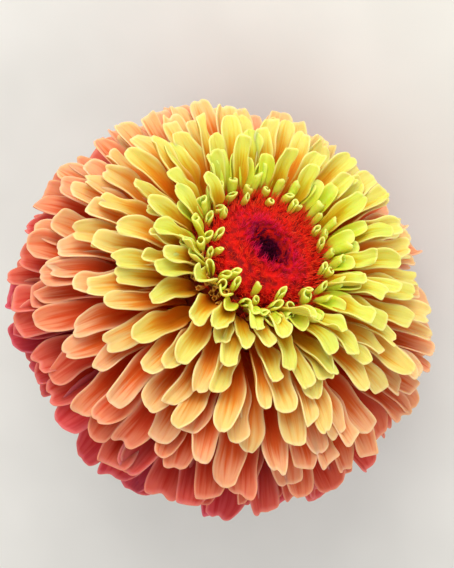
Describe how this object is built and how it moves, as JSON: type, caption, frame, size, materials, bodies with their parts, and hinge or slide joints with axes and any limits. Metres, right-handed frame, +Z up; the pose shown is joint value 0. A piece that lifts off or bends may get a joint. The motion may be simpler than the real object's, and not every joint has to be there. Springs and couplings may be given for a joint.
{
  "type": "zinnia flower",
  "caption": "Full double zinnia bloom on a short piece of cut stem, lying on its side: layered petals from coral to lime yellow round a red disc.",
  "frame": {"origin": "on the surface the flower lies on, under the middle of its bounding box", "axes": "+Z up from the surface, -Y the way the bloom faces, +Y along the lying stem towards its cut end"},
  "size_m": [0.0777, 0.0944, 0.0715],
  "materials": {
    "stem_green": "satin",
    "bract_green": "matte",
    "petal_coral": "matte",
    "petal_orange": "matte",
    "petal_yellow": "matte",
    "floret_lime": "satin",
    "disc_red": "matte",
    "disc_dark": "matte"
  },
  "bodies": {
    "root": {"stem": "stem_green", "bract_cup": "bract_green", "petals_coral": "petal_coral", "petals_orange": "petal_orange", "petals_yellow": "petal_yellow", "florets_lime": "floret_lime", "disc_scales": "disc_red", "disc_heart": "disc_dark"}
  },
  "joints": []
}
